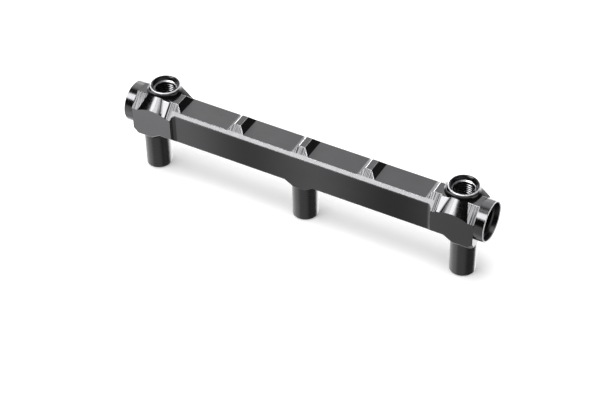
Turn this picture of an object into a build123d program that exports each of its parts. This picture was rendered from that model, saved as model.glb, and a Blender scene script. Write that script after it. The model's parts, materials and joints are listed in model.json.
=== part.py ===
from build123d import *
import os
from math import radians, sqrt, tan

os.makedirs("parts", exist_ok=True)

# A billet fuel rail for a bank of three injectors, machined from one bar of aluminium.
# Millimetres. X runs along the rail, Y towards its back, +Z up. The origin is on the
# middle injector stub's axis, in the plane of the stubs' feet.

# ---- bar and end blocks ----
END_OVERHANG = 9.9           # end face beyond the outer injector's axis
RAIL_OFFSET = 2.0            # the bar's mid-plane lies this far behind the stubs' axes
RAIL_UNDERSIDE = 28.75       # height of the bar's underside above the stubs' feet
RAIL_HEIGHT = 25.4
RAIL_WIDTH = 20.3
TOP_FLAT_WIDTH = 9.35        # both sides fall away from it at 45 degrees
BLOCK_FRONT = 12.7           # the end blocks' front, from the bar's mid-plane; the back is flush
BLOCK_REACH = 17.3           # the blocks start this far inboard of the outer injector's axis
RELIEF_CUTTER_RADIUS = 3.0   # leaves a cove where the bar's front meets each end block

# ---- underside: a boss over each stub ----
BOSS_DROP = 3.5              # the bosses reach this far below the bar
BOSS_LAND = 7.2              # flat length of a boss
BOSS_RAMP = 5.9              # length of the ramp up to the bar
BLOCK_EDGE_CHAMFER = 2.5     # along the end blocks' lower front edges
BLOCK_END_CHAMFER = 2.0      # across the end blocks' lower outer edges

# ---- top pockets ----
POCKET_COUNT = 4
POCKET_DEPTH = 3.65          # the flanks rise at 45 degrees
RIB_WIDTH = 4.05             # flat top of the rib between two pockets
POCKET_MARGIN = 1.85         # from the end pockets to where the blocks start

# ---- injector stubs ----
INJECTOR_COUNT = 3
INJECTOR_PITCH = 105.5
STUB_DIAMETER = 15.9
STUB_FOOT_CHAMFER = 0.8
INJECTOR_BORE_DIAMETER = 11.1
INJECTOR_BORE_DEPTH = 20.0
INJECTOR_LEAD_IN = 0.9       # chamfer that lets the injector's O-ring in
FEED_DIAMETER = 6.0          # from the injector bore up into the gallery

# ---- gallery ----
GALLERY_DIAMETER = 14.0

# ---- top ports, 9/16-18 straight thread with an O-ring seat ----
PORT_INSET = 4.45            # the port axes lie this far inboard of the outer injectors' axes
PORT_OFFSET = 6.5            # the port axes lie this far behind the stubs' axes
PORT_RISE = 3.9              # rim above the bar's top
PORT_RIM_DIAMETER = 19.1
PORT_RIM_CHAMFER = 0.4
PORT_SKIRT_ANGLE = 43.0      # the skirt falls this far below level
PORT_SKIRT_DIAMETER = 23.0   # of the skirt's cone, at the height of the flat top
PORT_COVE_RADIUS = 3.0       # sweeps the rim's wall out into the skirt
LAND_REACH = 9.4             # a raised land on the front facet starts this far inboard of the axis
LAND_RAISE = 0.8             # above the facet, square to it
PORT_SEAT_DIAMETER = 15.6
PORT_SEAT_FLOOR = 14.4       # diameter at the seat's inner end
PORT_SEAT_DEPTH = 2.5
PORT_THREAD_DRILL = 12.9     # drilled wall, before the thread is cut
PORT_DEPTH = 12.7

# ---- end ports, 7/8-14 straight thread with an O-ring seat ----
COLLAR_DIAMETER = 25.6
COLLAR_LENGTH = 6.1
COLLAR_RIM_CHAMFER = 0.35
END_SEAT_DIAMETER = 23.6
END_SEAT_FLOOR = 22.4
END_SEAT_DEPTH = 3.3
END_THREAD_DRILL = 20.4
END_DEPTH = 13.6
END_WALL_DIAMETER = 24.4     # the port's wall, where it stands out of the block's back

BARREL_BEYOND = 1.4          # the ports' round walls run this far past the drilled depth
SEAT_LEAD = 0.4              # small chamfer at the mouth of every seat
DRILL_POINT = 118            # included angle at the bottom of a drilled hole
RUN_OUT = 5                  # how far a cutter runs past the metal

# ---- worked out from the sizes above ----
rail_top = RAIL_UNDERSIDE + RAIL_HEIGHT
rail_axis = RAIL_UNDERSIDE + RAIL_HEIGHT / 2
boss_bottom = RAIL_UNDERSIDE - BOSS_DROP
outer_stub = (INJECTOR_COUNT - 1) / 2 * INJECTOR_PITCH
body_end = outer_stub + END_OVERHANG
block_start = outer_stub - BLOCK_REACH
port_x = outer_stub - PORT_INSET
pocket_pitch = (2 * (block_start - POCKET_MARGIN) + RIB_WIDTH) / POCKET_COUNT
front_y = RAIL_OFFSET - BLOCK_FRONT
back_y = RAIL_OFFSET + RAIL_WIDTH / 2
stub_xs = [(i - (INJECTOR_COUNT - 1) / 2) * INJECTOR_PITCH for i in range(INJECTOR_COUNT)]
pocket_xs = [(i - (POCKET_COUNT - 1) / 2) * pocket_pitch for i in range(POCKET_COUNT)]


def prism(points, plane, amount):
    """A closed outline on a plane, extruded to both sides of it."""
    return extrude(plane * make_face(Polyline(*points, close=True)), amount, both=True)


def billet():
    """The bar before its front is relieved: side elevation and end section together."""
    underside = []
    for x in stub_xs:
        half = BOSS_LAND / 2
        underside += [(x - half - BOSS_RAMP, RAIL_UNDERSIDE), (x - half, boss_bottom)]
        underside += [(x + half, boss_bottom), (x + half + BOSS_RAMP, RAIL_UNDERSIDE)]
    corner = boss_bottom + BLOCK_END_CHAMFER
    lower_left = [(-body_end, corner), (-body_end + BLOCK_END_CHAMFER, boss_bottom)]
    lower_right = [(body_end - BLOCK_END_CHAMFER, boss_bottom), (body_end, corner)]
    outline = [(-body_end, rail_top)] + lower_left + underside[2:-2] + lower_right + [(body_end, rail_top)]
    elevation = Pos(0, (front_y + back_y) / 2) * prism(outline, Plane.XZ, (back_y - front_y) / 2)
    lower_front = [e for e in elevation.faces().sort_by(Axis.Y)[0].edges()
                   if e.center().Z < rail_axis and abs(e.center().X) < body_end - BLOCK_END_CHAMFER / 4]
    elevation = chamfer(lower_front, BLOCK_EDGE_CHAMFER)

    half_flat = TOP_FLAT_WIDTH / 2
    section = [
        (front_y, 0),
        (front_y, rail_top - BLOCK_FRONT + half_flat),
        (RAIL_OFFSET - half_flat, rail_top),
        (RAIL_OFFSET + half_flat, rail_top),
        (back_y, rail_top - RAIL_WIDTH / 2 + half_flat),
        (back_y, 0),
    ]
    return elevation & prism(section, Plane.YZ, body_end)


def turned(points):
    """A turned solid about +Z from its (radius, height) outline."""
    return revolve(Plane.XZ * make_face(Polyline(*points, close=True)), Axis.Z)


def port_boss(side):
    """Port boss: a coved skirt, flush with the bar's back, and a barrel that stands out behind."""
    rim = PORT_RIM_DIAMETER / 2
    rim_z = rail_top + PORT_RISE
    neck_z = rim_z - PORT_RIM_CHAMFER
    corner_z = rail_top + (PORT_SKIRT_DIAMETER / 2 - rim) * tan(radians(PORT_SKIRT_ANGLE))
    foot = rim + (corner_z - rail_axis) / tan(radians(PORT_SKIRT_ANGLE))
    outline = [(0, rail_axis), (foot, rail_axis), (rim, corner_z), (rim, neck_z), (0, neck_z)]
    profile = make_face(Polyline(*outline, close=True))
    profile = fillet(profile.vertices().sort_by_distance((rim, corner_z))[0], PORT_COVE_RADIUS)
    skirt = Pos(side * port_x, PORT_OFFSET) * revolve(Plane.XZ * profile, Axis.Z)
    skirt &= Pos(0, (front_y + back_y) / 2, rail_top) * Box(2 * body_end, back_y - front_y, RAIL_HEIGHT)
    barrel_z = rim_z - PORT_DEPTH - BARREL_BEYOND
    barrel = turned([
        (0, barrel_z - rim),
        (rim, barrel_z),
        (rim, neck_z),
        (rim - PORT_RIM_CHAMFER, rim_z),
        (0, rim_z),
    ])
    return skirt + Pos(side * port_x, PORT_OFFSET) * barrel


def facet_land(side):
    """Raised land on the front facet, between the port's skirt and the open facet inboard."""
    rise = LAND_RAISE * sqrt(2)
    edge_y = RAIL_OFFSET - TOP_FLAT_WIDTH / 2
    edge_z = rail_top - BLOCK_FRONT + TOP_FLAT_WIDTH / 2
    section = [
        (front_y, edge_z - rise),
        (front_y, edge_z + rise),
        (edge_y - rise, rail_top),
        (edge_y + rise, rail_top),
    ]
    land = prism(section, Plane.YZ, LAND_REACH / 2)
    return Pos(side * (port_x - LAND_REACH / 2)) * land


def front_relief():
    """Cut along the bar's front, ending in a cove at each end block."""
    near = RAIL_WIDTH / 2
    reach = BLOCK_FRONT - near + RUN_OUT
    slot = Pos(0, RAIL_OFFSET - near - reach / 2) * Rectangle(2 * block_start, reach)
    slot = fillet(slot.vertices().sort_by(Axis.Y)[-2:], RELIEF_CUTTER_RADIUS)
    return extrude(slot, rail_top + PORT_RISE + RUN_OUT)


def top_pockets():
    """Pockets milled right across the top, with 45 degree flanks and ribs between them."""
    half = (pocket_pitch - RIB_WIDTH) / 2
    outline = [
        (-half - RUN_OUT, rail_top + RUN_OUT),
        (-half + POCKET_DEPTH, rail_top - POCKET_DEPTH),
        (half - POCKET_DEPTH, rail_top - POCKET_DEPTH),
        (half + RUN_OUT, rail_top + RUN_OUT),
    ]
    pocket = prism(outline, Plane.XZ, BLOCK_FRONT + RAIL_WIDTH)
    return [Pos(x) * pocket for x in pocket_xs]


def drilled(diameter, depth):
    """A blind drilled hole with its mouth at the origin, running down -Z."""
    radius = diameter / 2
    point = radius / tan(radians(DRILL_POINT / 2))
    return turned([(0, RUN_OUT), (radius, RUN_OUT), (radius, -depth), (0, -depth - point)])


def threaded_port(mouth, floor, seat_depth, drill, depth):
    """An O-ring boss port, its mouth at the origin: tapered seat, then the thread's drill."""
    top = mouth / 2 + SEAT_LEAD
    seat = turned([(0, RUN_OUT), (top, RUN_OUT), (top, 0), (mouth / 2, -SEAT_LEAD),
                   (floor / 2, -seat_depth), (0, -seat_depth)])
    return seat + drilled(drill, depth)


def injector_stub():
    """Round stub that an injector's top slides into, reaching up into its boss."""
    height = rail_axis - GALLERY_DIAMETER / 2
    stub = Cylinder(STUB_DIAMETER / 2, height, align=(Align.CENTER, Align.CENTER, Align.MIN))
    return chamfer(stub.edges().sort_by(Axis.Z)[0], STUB_FOOT_CHAMFER)


def injector_bore():
    """Injector bore with its lead-in, and the feed hole on up to the gallery."""
    radius = INJECTOR_BORE_DIAMETER / 2
    lead = turned([(0, 0), (radius + INJECTOR_LEAD_IN, 0), (radius, INJECTOR_LEAD_IN), (0, INJECTOR_LEAD_IN)])
    bore = Rot(180) * drilled(INJECTOR_BORE_DIAMETER, INJECTOR_BORE_DEPTH)
    feed = Cylinder(FEED_DIAMETER / 2, rail_axis, align=(Align.CENTER, Align.CENTER, Align.MIN))
    return lead + bore + feed


def end_collar(side):
    """Turned collar round an end port, and the port's wall standing out of the block's back."""
    collar = Cylinder(COLLAR_DIAMETER / 2, COLLAR_LENGTH, align=(Align.CENTER, Align.CENTER, Align.MIN))
    collar = chamfer(collar.edges().sort_by(Axis.Z)[-1], COLLAR_RIM_CHAMFER)
    wall = END_WALL_DIAMETER / 2
    inner = COLLAR_LENGTH - END_DEPTH - BARREL_BEYOND
    collar += turned([(0, inner - wall), (wall, inner), (wall, 0), (0, 0)])
    return Pos(side * body_end, RAIL_OFFSET, rail_axis) * Rot(0, side * 90) * collar


def rail_body():
    body = billet()
    for side in (-1, 1):
        body += port_boss(side)
        body += facet_land(side)
    for cut in [front_relief()] + top_pockets():
        body -= cut
    for side in (-1, 1):
        body += end_collar(side)
    for x in stub_xs:
        body += Pos(x) * injector_stub()

    gallery_length = 2 * (body_end + COLLAR_LENGTH - END_DEPTH)
    body -= Pos(0, RAIL_OFFSET, rail_axis) * Rot(0, 90) * Cylinder(GALLERY_DIAMETER / 2, gallery_length)
    end_port = threaded_port(END_SEAT_DIAMETER, END_SEAT_FLOOR, END_SEAT_DEPTH, END_THREAD_DRILL, END_DEPTH)
    top_port = threaded_port(
        PORT_SEAT_DIAMETER, PORT_SEAT_FLOOR, PORT_SEAT_DEPTH, PORT_THREAD_DRILL, PORT_DEPTH)
    for side in (-1, 1):
        body -= Pos(side * (body_end + COLLAR_LENGTH), RAIL_OFFSET, rail_axis) * Rot(0, side * 90) * end_port
        body -= Pos(side * port_x, PORT_OFFSET, rail_top + PORT_RISE) * top_port
    for x in stub_xs:
        body -= Pos(x) * injector_bore()
    return body


export_step(rail_body(), "parts/rail_body.step")
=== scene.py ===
import json
from math import cos, pi, radians, sin

import bpy
import bmesh
from mathutils import Matrix, Vector


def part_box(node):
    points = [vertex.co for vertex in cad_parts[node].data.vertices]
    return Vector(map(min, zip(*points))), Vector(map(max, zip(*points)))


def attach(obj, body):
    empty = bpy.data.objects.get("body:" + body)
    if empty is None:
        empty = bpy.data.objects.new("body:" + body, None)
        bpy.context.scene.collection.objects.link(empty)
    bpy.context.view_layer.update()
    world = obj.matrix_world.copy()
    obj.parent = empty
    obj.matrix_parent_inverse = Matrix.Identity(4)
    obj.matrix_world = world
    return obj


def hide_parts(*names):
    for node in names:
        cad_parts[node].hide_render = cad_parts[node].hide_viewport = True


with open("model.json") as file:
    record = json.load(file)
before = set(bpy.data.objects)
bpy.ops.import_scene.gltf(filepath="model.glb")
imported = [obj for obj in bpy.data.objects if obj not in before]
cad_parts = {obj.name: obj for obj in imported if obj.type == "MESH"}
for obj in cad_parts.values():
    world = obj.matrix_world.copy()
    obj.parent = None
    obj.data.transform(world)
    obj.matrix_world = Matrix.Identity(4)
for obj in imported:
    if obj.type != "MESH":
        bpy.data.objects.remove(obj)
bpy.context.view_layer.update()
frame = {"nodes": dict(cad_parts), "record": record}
MM = 0.001


# ---------------------------------------------------------------- sizes: ports from the rail's own mounts, the rest given
MOUNTS = {m["name"]: m for m in frame["record"]["mounts"]}
SIDES = ("left", "right")
LOW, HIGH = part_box("rail_body")
TOP_PORTS = {side: Vector(MOUNTS[f"top_port_{side}"]["pos_m"]) for side in SIDES}
END_PORTS = {side: Vector(MOUNTS[f"end_port_{side}"]["pos_m"]) for side in SIDES}
RAIL_TOP = 54.15 * MM
FLOOR_HEIGHT = 50.5 * MM     # of the pockets cut along the bar's top
BOSS_UNDERSIDE = 25.25 * MM  # the stubs start here
BODY_END = 115.45 * MM       # the collars start here
BLOCK_START = 88.2 * MM
LAND_PLANE = 57.4 * MM       # height less depth, between the open facet and the raised land
THREAD_LEAD = 0.75 * MM      # how far each port's inner ledge is cut down past the solid's
LEAD_SLOPE = (0.2 * MM, 0.45 * MM)   # below the ledge, the wall opens out to the thread over this length
EDGE_BREAK = 0.22 * MM
RIM_CHAMFER = 0.4 * MM       # as cut in the solid
RIM_LOWERED = 0.12 * MM      # the chamfer's outer edge comes down by this
RIM_NARROWED = 0.973         # and its inner edge comes in to this share
MOUTH_RADIUS = 8.6 * MM      # inside it lie a top port's seat and bore
END_MOUTH_RADIUS = 12.3 * MM
COLLAR_REACH = 13.6 * MM     # past the collar's outside
NEAR = 0.4 * MM              # how near an edge lies to a plane to count as on it

# Both kinds of port: drilled and thread radius, rim's place along the axis, depth of the seat,
# and how far below the mount the drilled wall is threaded.
TOP = dict(kind="top", drill=MOUNTS["top_port_left"]["dims"]["r_mm"] * MM, major=7.14 * MM,
           pitch=1.5 * MM, turns=5, rim=HIGH.z, seat=2.5 * MM, threaded=7 * MM)
END = dict(kind="end", drill=MOUNTS["end_port_left"]["dims"]["r_mm"] * MM, major=11.11 * MM,
           pitch=1.814 * MM, turns=4, rim=HIGH.x, seat=3.3 * MM, threaded=14 * MM)
PORTS = [(side, TOP, TOP_PORTS[side], Vector((0, 0, 1))) for side in SIDES]
PORTS += [(side, END, END_PORTS[side], Vector((1 if side == "right" else -1, 0, 0))) for side in SIDES]


def from_axis(place, centre, outward):
    """Distance of a place from a port's axis."""
    offset = place - centre
    return (offset - outward * offset.dot(outward)).length


# ---------------------------------------------------------------- modelling helpers
def select_only(piece):
    bpy.ops.object.select_all(action="DESELECT")
    piece.select_set(True)
    bpy.context.view_layer.objects.active = piece


def apply_modifier(piece, kind, **settings):
    """Adds one modifier, sets it and applies it."""
    select_only(piece)
    modifier = piece.modifiers.new(kind.title(), kind)
    for name, value in settings.items():
        setattr(modifier, name, value)
    bpy.ops.object.modifier_apply(modifier=modifier.name)


def edit_selected(piece, keep):
    """Enters edit mode with only the vertices that keep(position) accepts selected."""
    select_only(piece)
    bpy.ops.object.mode_set(mode="EDIT")
    bpy.ops.mesh.select_mode(type="VERT")
    mesh = bmesh.from_edit_mesh(piece.data)
    for face in mesh.faces:
        face.select = False
    for vertex in mesh.verts:
        vertex.select = keep(vertex.co)
    mesh.select_flush_mode()
    bmesh.update_edit_mesh(piece.data)


def object_mode():
    bpy.ops.object.mode_set(mode="OBJECT")


# ---------------------------------------------------------------- shader helpers
class Wire:
    """A shader socket that can be used in Python arithmetic."""

    def __init__(self, shader, socket):
        self.shader = shader
        self.socket = socket

    def maths(self, operation, first, second):
        return self.shader.add("ShaderNodeMath", dict(operation=operation), {0: first, 1: second})

    def __add__(self, other):
        return self.maths("ADD", self, other)

    def __sub__(self, other):
        return self.maths("SUBTRACT", self, other)

    def __mul__(self, other):
        return self.maths("MULTIPLY", self, other)

    def __truediv__(self, other):
        return self.maths("DIVIDE", self, other)

    def __radd__(self, other):
        return self.maths("ADD", other, self)

    def __rsub__(self, other):
        return self.maths("SUBTRACT", other, self)

    def __rmul__(self, other):
        return self.maths("MULTIPLY", other, self)


class Shader:
    """The node tree of a material or the world, with one method that adds any node."""

    def __init__(self, name, world=False):
        self.material = bpy.data.worlds.new(name) if world else bpy.data.materials.new(name)
        self.material.use_nodes = True
        self.tree = self.material.node_tree
        self.tree.nodes.clear()

    def add(self, kind, settings=None, inputs=None, output=0):
        node = self.tree.nodes.new(kind)
        for name, value in (settings or {}).items():
            setattr(node, name, value)
        for name, value in (inputs or {}).items():
            if isinstance(value, Wire):
                self.tree.links.new(value.socket, node.inputs[name])
            else:
                node.inputs[name].default_value = value
        return Wire(self, node.outputs[output]) if len(node.outputs) else None

    def position(self, scale=(1, 1, 1)):
        """Object coordinates, stretched by a Mapping node."""
        place = self.add("ShaderNodeTexCoord", output="Object")
        return self.add("ShaderNodeMapping", inputs={"Vector": place, "Scale": scale})

    def noise(self, vector, scale, detail=3.0, roughness=0.55):
        return self.add("ShaderNodeTexNoise", inputs={
            "Vector": vector, "Scale": scale, "Detail": detail, "Roughness": roughness})

    def clamp(self, value, low, high):
        return self.add("ShaderNodeClamp", inputs={"Value": value, "Min": low, "Max": high})

    def absolute(self, value):
        return self.add("ShaderNodeMath", dict(operation="ABSOLUTE"), {0: value})

    def part(self, vector, letter):
        """One of a vector's parts: X, Y or Z."""
        return self.add("ShaderNodeSeparateXYZ", inputs={"Vector": vector}, output=letter)

    def vector(self, operation, first, second):
        """Vector maths that gives a vector."""
        return self.add("ShaderNodeVectorMath", dict(operation=operation), {0: first, 1: second})

    def length(self, vector):
        return self.add("ShaderNodeVectorMath", dict(operation="LENGTH"), {0: vector}, output="Value")

    def dot(self, first, second):
        return self.add("ShaderNodeVectorMath", dict(operation="DOT_PRODUCT"), {0: first, 1: second},
                        output="Value")

    def blend(self, factor, first, second):
        """Mixes two colours."""
        node = self.tree.nodes.new("ShaderNodeMix")
        node.data_type = "RGBA"
        for index, value in ((0, factor), (6, first), (7, second)):
            if isinstance(value, Wire):
                self.tree.links.new(value.socket, node.inputs[index])
            else:
                node.inputs[index].default_value = value
        return Wire(self, node.outputs[2])

    def bump(self, height, distance):
        return self.add("ShaderNodeBump", inputs={"Height": height, "Distance": distance, "Strength": 1.0})

    def finish(self, **inputs):
        """The surface shader; names with spaces are written with underscores."""
        values = {name.replace("_", " "): value for name, value in inputs.items()}
        surface = self.add("ShaderNodeBsdfPrincipled", inputs=values)
        self.add("ShaderNodeOutputMaterial", inputs={"Surface": surface})
        return self.material


def grey(value, blue=1.03):
    """A grey, by default with the faint blue of black anodising."""
    return (value, value, value * blue, 1.0)


# ---------------------------------------------------------------- finishes
PAINTED_REFLECTION_CREST = 84 * MM        # how far left of the middle the painted reflection along the bar is at its palest


def anodised(name, tone, roughness, lines_scale, lines_depth=0.004 * MM, lines=1.0, painted_reflection=0.0, reflection_period=0.097):
    """Black anodised aluminium with cutter lines, and optionally a painted reflection that brightens and
    darkens it in waves along the bar.
    """
    s = Shader(name)
    fine = s.noise(s.position(scale=lines_scale), 1.0, detail=4.0, roughness=0.65)
    cloud = s.noise(s.position(), 38.0, detail=2.0)
    grain = s.noise(s.position(), 5200.0, detail=2.0)
    shade = s.clamp((fine - 0.5) * 0.9 * lines + (cloud - 0.5) * 0.5 + 0.5, 0.0, 1.0)
    colour = s.blend(shade, grey(tone * 0.8), grey(tone * 1.25))
    # painted reflection: the tone rises and falls in waves along X, palest at the crest
    if painted_reflection:
        turns = (s.part(s.position(), "X") + PAINTED_REFLECTION_CREST) * (2 * pi / reflection_period)
        reflection_wave = s.add("ShaderNodeMath", dict(operation="COSINE"), {0: turns})
        colour = s.blend(reflection_wave * 0.5 + 0.5, grey(tone * (1 - painted_reflection)), colour)
    rough = s.clamp(roughness + (fine - 0.5) * 0.22 * lines + (cloud - 0.5) * 0.06, 0.08, 0.9)
    height = fine * lines + grain * 0.25
    return s.finish(Base_Color=colour, Metallic=1.0, Roughness=rough, Normal=s.bump(height, lines_depth))


def facet_finish(name, low, high):
    """Sloped facets: finely cut along the bar, coarsely hatched on the ribs and the end blocks."""
    s = Shader(name)
    lines = s.noise(s.position(scale=(1150, 45, 45)), 1.0, detail=2.0, roughness=0.5)
    cloud = s.noise(s.position(), 160.0, detail=3.0)
    block = s.clamp((s.absolute(s.part(s.position(), "X")) - BLOCK_START) * 1500.0, 0.0, 1.0)
    above = s.clamp((s.part(s.position(), "Z") - FLOOR_HEIGHT) * 2500.0, 0.0, 1.0)
    hatched = s.clamp(above + block, 0.0, 1.0)
    furrows = s.noise(s.position(scale=(1900, 20, 20)), 1.0, detail=1.0)
    shade = s.clamp((lines - 0.5) * 1.5 + (cloud - 0.5) * 0.6 + 0.5, 0.0, 1.0)
    deep = s.clamp((furrows - 0.5) * 4.0 + (cloud - 0.5) * 0.6 + 0.55, 0.0, 1.0)
    smooth = s.blend(shade, grey(low * 0.65), grey(low * 1.3))
    coarse = s.blend(deep, grey(high * 0.12), grey(high * 1.8))
    rough = s.clamp(0.26 + (lines - 0.5) * 0.3, 0.08, 0.9)
    return s.finish(Base_Color=s.blend(hatched, smooth, coarse), Metallic=1.0, Roughness=rough,
                    Normal=s.bump(lines, 0.008 * MM))


def about_axis(s, centre, axis, mirrored=False):
    """Distance from a turning axis and distance along it; mirrored covers both ends of the rail at once."""
    place = s.add("ShaderNodeTexCoord", output="Object")
    if mirrored:
        place = s.vector("MAXIMUM", place, s.vector("MULTIPLY", place, (-1, 1, 1)))
    offset = s.vector("SUBTRACT", place, centre)
    flat = s.vector("MULTIPLY", offset, tuple(1 - abs(share) for share in axis))
    return s.length(flat), s.dot(offset, axis)


def turned_finish(name, tone, roughness, centre, axis, ring_depth=0.004 * MM, mirrored=False, metallic=1.0):
    """Anodised metal with fine turning rings about an axis."""
    s = Shader(name)
    radius, along = about_axis(s, centre, axis, mirrored)
    spread = s.add("ShaderNodeCombineXYZ", inputs={"X": radius * 2600.0, "Y": along * 2100.0})
    rings = s.noise(spread, 1.0, detail=3.0)
    cloud = s.noise(s.position(), 60.0)
    colour = s.blend(s.clamp(rings * 0.8 + cloud * 0.3, 0.0, 1.0), grey(tone * 0.75), grey(tone * 1.25))
    rough = s.clamp(roughness + (rings - 0.5) * 0.2, 0.06, 0.9)
    return s.finish(Base_Color=colour, Metallic=metallic, Roughness=rough, Normal=s.bump(rings, ring_depth))


def thread_finish(name, centre, axis, minor, major):
    """Chased threads: a painted highlight along the crests and painted shade down in the roots."""
    s = Shader(name)
    radius = about_axis(s, centre, axis)[0]
    # painted light: pale near the crests, near black towards the roots
    crest_highlight = s.clamp(1.0 - (radius - minor) / ((major - minor) * 0.55), 0.0, 1.0)
    scuff = s.noise(s.position(scale=(400, 400, 400)), 1.0)
    colour = s.blend(s.clamp(crest_highlight * (scuff * 0.8 + 0.6), 0.0, 1.0), grey(0.012), grey(0.42))
    return s.finish(Base_Color=colour, Metallic=1.0, Roughness=s.clamp(0.16 + scuff * 0.12, 0.1, 0.6),
                    Normal=s.bump(scuff, 0.003 * MM))


def broken_edge():
    """The broken edges: polished metal where the cutter broke them, made paler as a painted highlight along
    the edges.
    """
    s = Shader("broken_edge")
    chatter = s.noise(s.position(scale=(900, 900, 900)), 1.0)
    colour = s.blend(chatter, grey(0.30), grey(0.55))
    return s.finish(Base_Color=colour, Metallic=1.0, Roughness=s.clamp(0.2 + chatter * 0.2, 0.1, 0.6),
                    Normal=s.bump(chatter, 0.004 * MM))


PORT_AXIS = tuple(TOP_PORTS["right"])
END_AXIS = tuple(END_PORTS["right"])
UP, ALONG = (0, 0, 1), (1, 0, 0)
SKIN_FINISHES = dict(
    # painted reflection: bar and blocks brighten and darken in waves along X; the blocks' paler tone and
    # long wave paint the left block lighter than the right
    bar=anodised("milled_bar", 0.085, 0.22, (60, 60, 900), lines_depth=0.0012 * MM, lines=0.35, painted_reflection=0.55),
    block=anodised("milled_block", 0.145, 0.22, (60, 60, 900), lines_depth=0.0012 * MM, lines=0.35,
                   painted_reflection=0.35, reflection_period=0.4),
    facet=facet_finish("milled_facet", 0.115, 0.062),
    land=anodised("milled_land", 0.115, 0.16, (500, 60, 60), lines=0.5),
    pocket=anodised("milled_pocket", 0.078, 0.30, (60, 1100, 60), lines_depth=0.0015 * MM, lines=0.45),
    flank=anodised("milled_flank", 0.09, 0.22, (900, 60, 900), lines=0.6),
    boss=turned_finish("profiled_boss", 0.09, 0.17, PORT_AXIS, UP, mirrored=True),
    # painted highlight: the pale, partly matte tone keeps the port lips bright all round
    lip=turned_finish("turned_lip", 0.7, 0.45, PORT_AXIS, UP, mirrored=True, metallic=0.4),
    rim=turned_finish("faced_rim", 0.05, 0.2, PORT_AXIS, UP, mirrored=True),
    ledge=turned_finish("chased_ledge", 0.8, 0.42, PORT_AXIS, UP, mirrored=True),
    bore=turned_finish("drilled_bore", 0.06, 0.3, PORT_AXIS, UP, mirrored=True),
    seat=turned_finish("faced_seat", 0.16, 0.35, END_AXIS, ALONG),
    collar=turned_finish("turned_collar", 0.11, 0.17, END_AXIS, ALONG),
    stub=anodised("turned_stub", 0.085, 0.28, (20, 20, 1500), lines=0.8),
    # the broken edges' pale tone is partly polished metal, partly painted highlight
    edge=broken_edge(),
)
FINISH_ORDER = list(SKIN_FINISHES)


# ---------------------------------------------------------------- the rail's skin
def widen_rim(skin, centre, outward):
    """Cuts the chamfer round a top port's rim wider, both outwards and inwards."""
    def in_ring(place, inner):
        return inner < from_axis(place, centre, outward) < 9.7 * MM
    edit_selected(skin, lambda co: in_ring(co, 9.3 * MM) and abs(co.z - HIGH.z + RIM_CHAMFER) < 0.02 * MM)
    bpy.ops.transform.translate(value=(0, 0, -RIM_LOWERED))
    object_mode()
    edit_selected(skin, lambda co: in_ring(co, 8.9 * MM) and co.z > HIGH.z - 0.02 * MM)
    bpy.ops.transform.resize(value=(RIM_NARROWED, RIM_NARROWED, 1), center_override=tuple(centre))
    object_mode()


def open_thread(skin, port, centre, outward):
    """Cuts a port's ledge deeper, and takes the wall below it out to the thread's major diameter."""
    def on_wall(place):
        near = (centre - place).dot(outward) < port["threaded"]
        return near and abs(from_axis(place, centre, outward) - port["drill"]) < 0.12 * MM
    ledge = port["rim"] - port["seat"]
    edit_selected(skin, lambda co: on_wall(co) and co.dot(outward) > ledge - 0.3 * MM)
    bpy.ops.transform.translate(value=tuple(-THREAD_LEAD * outward))
    object_mode()
    for drop in LEAD_SLOPE:
        edit_selected(skin, on_wall)
        bpy.ops.mesh.bisect(plane_co=tuple((ledge - THREAD_LEAD - drop) * outward),
                            plane_no=[abs(part) for part in outward])
        object_mode()
    edit_selected(skin, lambda co: on_wall(co) and co.dot(outward) < ledge - THREAD_LEAD - 0.4 * MM)
    grow = port["major"] / port["drill"]
    bpy.ops.transform.resize(value=[1 if part else grow for part in outward], center_override=tuple(centre))
    object_mode()


def rail_skin():
    """The milled body: a merged copy of the solid, with its edges broken and its threads opened up."""
    select_only(frame["nodes"]["rail_body"])
    skin = frame["nodes"]["rail_body"].copy()
    skin.data = skin.data.copy()
    skin.name = "rail_skin"
    skin.parent = None
    for key in list(skin.keys()):
        del skin[key]
    bpy.context.scene.collection.objects.link(skin)
    edit_selected(skin, lambda co: True)
    bpy.ops.mesh.customdata_custom_splitnormals_clear()
    bpy.ops.mesh.remove_doubles(threshold=0.003 * MM)
    object_mode()

    for side, port, centre, outward in PORTS:
        if port is TOP:
            widen_rim(skin, centre, outward)
        open_thread(skin, port, centre, outward)

    edit_selected(skin, lambda co: True)
    bpy.ops.mesh.dissolve_limited(angle_limit=radians(0.6), delimit=set())
    object_mode()
    skin.data.materials.clear()
    for material in SKIN_FINISHES.values():
        skin.data.materials.append(material)
    for face in skin.data.polygons:
        face.material_index = FINISH_ORDER.index(finish_of(face.center, face.normal))
    bpy.ops.object.shade_smooth_by_angle(angle=radians(20))
    edit_selected(skin, lambda co: False)
    bpy.ops.mesh.select_mode(type="EDGE")
    mesh = bmesh.from_edit_mesh(skin.data)
    for edge in mesh.edges:
        edge.select = is_broken(edge)
    bmesh.update_edit_mesh(skin.data)
    bpy.ops.mesh.bevel(offset=EDGE_BREAK, segments=2, clamp_overlap=False,
                       material=FINISH_ORDER.index("edge"))
    object_mode()
    apply_modifier(skin, "WEIGHTED_NORMAL", mode="FACE_AREA", weight=50, keep_sharp=True)
    return skin


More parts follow.
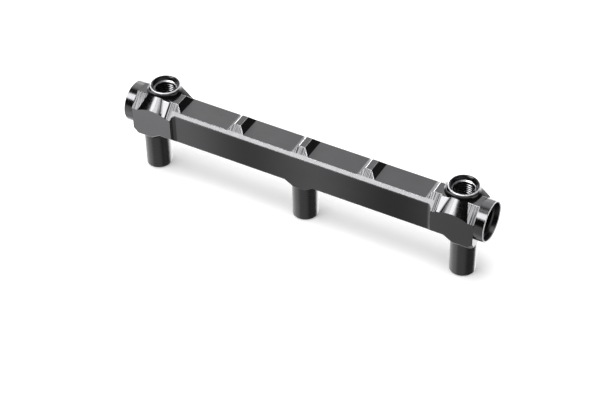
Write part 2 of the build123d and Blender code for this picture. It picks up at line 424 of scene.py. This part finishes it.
def is_broken(edge):
    """Whether an edge of the skin is an outside corner that was broken after machining."""
    if not edge.is_manifold or not edge.is_convex or edge.calc_face_angle() < radians(27):
        return False
    middle = (edge.verts[0].co + edge.verts[1].co) / 2
    out = abs(middle.x)
    mirrored = Vector((out, middle.y, middle.z))
    from_port = from_axis(mirrored, TOP_PORTS["right"], Vector(UP))
    from_end = from_axis(mirrored, END_PORTS["right"], Vector(ALONG))
    inside_port = from_port < MOUTH_RADIUS and middle.z > 42 * MM
    inside_end = from_end < END_MOUTH_RADIUS and out > BLOCK_START
    rims = middle.z > HIGH.z - 0.5 * MM or out > HIGH.x - 0.45 * MM
    behind_port = middle.y > 11 * MM and middle.z > 38 * MM and from_port < 12 * MM
    stubs = 0.1 * MM < middle.z < BOSS_UNDERSIDE - MM
    front = middle.y < LOW.y + NEAR
    block_front = front and out > BLOCK_START + 0.5 * MM and middle.z > 45.5 * MM
    beside_collar = out > BODY_END - NEAR and (from_end < COLLAR_REACH or (front and middle.z > 30 * MM))
    beside_cove = front and abs(out - BLOCK_START) < 0.6 * MM
    return not (inside_port or inside_end or rims or behind_port or stubs
                or block_front or beside_collar or beside_cove)


def finish_of(centre, normal):
    """Which finish a face of the skin takes, by where it is and how it faces."""
    port, end = TOP_PORTS["right"], END_PORTS["right"]
    out = abs(centre.x)
    reach = from_axis(Vector((out, centre.y, centre.z)), port, Vector(UP))
    side = 1 if centre.x > 0 else -1
    facing_in = normal.dot(Vector((side * port.x - centre.x, port.y - centre.y, 0))) > 0
    sloped = abs(normal.z - sin(pi / 4)) < 0.03
    if centre.z < BOSS_UNDERSIDE - 0.75 * MM:
        return "stub"
    if out > BODY_END:
        if out > HIGH.x - 0.45 * MM and abs(normal.x) > 0.3:
            return "lip"
        to_axis = Vector((0, end.y - centre.y, end.z - centre.z))
        if normal.dot(to_axis) > 0:
            return "bore"
        inside = to_axis.length < END_MOUTH_RADIUS
        return "seat" if inside and abs(normal.x) > 0.9 else "collar"
    if centre.z > HIGH.z - 0.6 * MM and normal.z > 0.3:
        chamfer = normal.z < 0.9 and reach > 8.7 * MM
        return "lip" if chamfer else "rim"
    if reach < 7.3 * MM and normal.z > 0.5 and centre.z > RAIL_TOP:
        return "ledge"
    if reach < 8.3 * MM and centre.z > 44 * MM and (facing_in or normal.z < 0.5):
        return "bore"
    if sloped and abs(normal.x) < 0.02 and normal.y < 0:
        raised = centre.z - centre.y > LAND_PLANE
        return "land" if raised else "facet"
    if abs(normal.x) > 0.6 and normal.z > 0.6 and out < BLOCK_START:
        return "flank"
    skirt = out > BLOCK_START and reach < 21 * MM and centre.z > 46 * MM and 0.3 < normal.z < 0.9
    if skirt or centre.z > RAIL_TOP:
        return "boss"
    if normal.z > 0.6:
        return "pocket"
    return "block" if out > BLOCK_START - 0.3 * MM else "bar"


def thread(name, port, centre, outward):
    """A helical V thread inside a port: one tooth profile swept down the bore."""
    outer = port["major"] + 0.05 * MM      # sunk a little into the wall
    crest = port["drill"] + (port["major"] - port["drill"]) * 0.1
    pitch = port["pitch"]
    bpy.ops.object.select_all(action="DESELECT")
    bpy.ops.mesh.primitive_plane_add(size=1, rotation=(pi / 2, 0, 0))
    tooth = bpy.context.object
    tooth.name = name
    bpy.ops.object.transform_apply(location=True, rotation=True, scale=True)
    edit_selected(tooth, lambda co: co.x > 0)
    bpy.ops.mesh.delete(type="EDGE_FACE")
    object_mode()
    edit_selected(tooth, lambda co: True)
    bpy.ops.transform.resize(value=(outer - crest, 1, pitch), center_override=(0, 0, 0))
    bpy.ops.transform.translate(value=((outer + crest) / 2, 0, 0))
    object_mode()
    edit_selected(tooth, lambda co: co.x < (outer + crest) / 2)
    bpy.ops.transform.resize(value=(1, 1, 0.1), center_override=(0, 0, 0))
    object_mode()
    apply_modifier(tooth, "SCREW", angle=2 * pi, screw_offset=pitch, iterations=port["turns"],
                   steps=56, render_steps=56, axis="Z", use_normal_calculate=True)
    turn = Vector(UP).rotation_difference(outward).to_matrix().to_4x4()
    mouth = port["rim"] - port["seat"] - THREAD_LEAD - LEAD_SLOPE[1]
    start = centre + outward * (mouth - centre.dot(outward) - pitch * (port["turns"] + 0.5))
    tooth.data.transform(Matrix.Translation(start) @ turn)
    bpy.ops.object.shade_smooth_by_angle(angle=radians(25))
    return tooth


skin = rail_skin()
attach(skin, "root")
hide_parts("rail_body")

for side, port, centre, outward in PORTS:
    piece = thread(f"{port['kind']}_port_thread_{side}", port, centre, outward)
    piece.data.materials.append(thread_finish(
        f"{port['kind']}_thread_{side}", tuple(centre), tuple(outward), port["drill"], port["major"]))
    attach(piece, "root")


# ---------------------------------------------------------------- floor, light and camera
def paper(name, colour, lift):
    """White paper, lifted for the camera so that it shows white where no shadow falls."""
    s = Shader(name)
    cloud = s.noise(s.position(), 3.0)
    tint = s.blend(cloud, grey(colour * 0.995, blue=1), grey(colour, blue=1))
    seen = s.add("ShaderNodeLightPath", output="Is Camera Ray")
    swept = s.blend(s.clamp(s.length(s.position()) - 0.4, 0.0, 1.0), grey(lift, blue=1), grey(0.6, blue=1))
    glow = s.blend(seen, grey(0), swept)
    return s.finish(Base_Color=tint, Roughness=0.9, Emission_Color=glow, Emission_Strength=1.0)


bpy.ops.object.select_all(action="DESELECT")
bpy.ops.mesh.primitive_plane_add(size=16, location=(0, 0, 0))
floor = bpy.context.object
floor.name = "floor"
floor.visible_glossy = False
floor.data.materials.append(paper("paper", 0.93, 0.2))


PANELS = (  # direction, cosines where the panel's soft edge starts and ends, brightness
    ((0.27, 0.69, -0.67), 0.978, 0.992, 1.6),       # line along the stubs' right edges
    ((-0.371, -0.53, 0.76), 0.952, 0.974, 8.0),     # front facets and skirts
    ((-0.371, 0.649, 0.664), 0.80, 0.99, 1.5),      # pocket floors and flat tops
    ((0, 0.98, -0.2), 0.6, 0.95, 1.3),              # the rail's back
    ((-0.728, 0.649, 0.2), 0.94, 0.97, 6.0),        # broken edges along the ribs' left sides
    ((0.05, -0.1, 0.99), 0.93, 0.975, 3.5),         # overhead, for the ports' lips
    ((1, 0, -0.15), 0.86, 0.97, 0.8),               # the right end
    ((-1, 0, -0.15), 0.9, 0.98, 0.8),               # the left end
)
ROOM_LIGHT = 0.5


def studio():
    """White surroundings; the metal mirrors a dark room with a pale floor to the left, and soft panels."""
    s = Shader("studio", world=True)
    towards = s.add("ShaderNodeTexCoord", output="Generated")

    def facing(direction):
        return s.dot(towards, tuple(Vector(direction).normalized()))

    def fade(value, start, end, low=0.0, high=1.0):
        return s.add("ShaderNodeMapRange", dict(interpolation_type="SMOOTHSTEP"), {
            "Value": value, "From Min": start, "From Max": end, "To Min": low, "To Max": high})

    below = fade(facing((0, 0, -1)), -0.06, 0.1)
    to_left = facing((cos(radians(147)), sin(radians(147)), 0))
    to_front = facing((0, -1, 0))
    mirrored = 0.03 + below * (fade(to_front, 0.3, 0.6, 0.1, 0.5) + fade(to_left, -0.12, 0.04, 0.0, 0.72)
                               + fade(to_left, 0.2, 0.5, 0.0, 0.6))
    for direction, start, end, brightness in PANELS:
        mirrored = mirrored + fade(facing(direction), start, end, 0.0, brightness)
    camera_ray = s.add("ShaderNodeLightPath", output="Is Camera Ray")
    glossy_ray = s.add("ShaderNodeLightPath", output="Is Glossy Ray")
    others = mirrored * glossy_ray + (1.0 - glossy_ray) * ROOM_LIGHT
    level = camera_ray + (1.0 - camera_ray) * others
    shown = s.add("ShaderNodeBackground", inputs={"Color": (1, 1, 1, 1), "Strength": level})
    s.add("ShaderNodeOutputWorld", inputs={"Surface": shown})
    return s.material


def softbox(name, direction, distance, size, radiance):
    """A square area light of a given brightness, aimed at the rail."""
    centre = Vector((0, 0, 0.045))
    lamp = bpy.data.lights.new(name, "AREA")
    lamp.shape = "SQUARE"
    lamp.size = size
    lamp.energy = radiance * pi * size ** 2
    holder = bpy.data.objects.new(name, lamp)
    bpy.context.scene.collection.objects.link(holder)
    holder.location = centre + Vector(direction).normalized() * distance
    holder.rotation_euler = (centre - holder.location).to_track_quat("-Z", "Y").to_euler()
    holder.visible_glossy = False


bpy.context.scene.world = studio()
softbox("key_softbox", (-0.2, -0.1, 0.97), 2.0, 2.2, 3.6)

AZIMUTH, ELEVATION, ROLL = radians(29.762), radians(41.600), radians(-1.348)
back = Vector((sin(AZIMUTH) * cos(ELEVATION), -cos(AZIMUTH) * cos(ELEVATION), sin(ELEVATION)))
level = Vector((cos(AZIMUTH), sin(AZIMUTH), 0))
upright = back.cross(level)
across = cos(ROLL) * level + sin(ROLL) * upright
up = -sin(ROLL) * level + cos(ROLL) * upright
camera = bpy.data.objects.new("camera", bpy.data.cameras.new("camera"))
bpy.context.scene.collection.objects.link(camera)
camera.data.sensor_width = 36
camera.data.lens = 106.77
camera.data.clip_end = 20
pose = Matrix((across, up, back)).transposed().to_4x4()
pose.translation = Vector((0.39969, -0.70557, 0.72971))
camera.matrix_world = pose
bpy.context.scene.camera = camera
bpy.context.scene.view_settings.view_transform = "Standard"
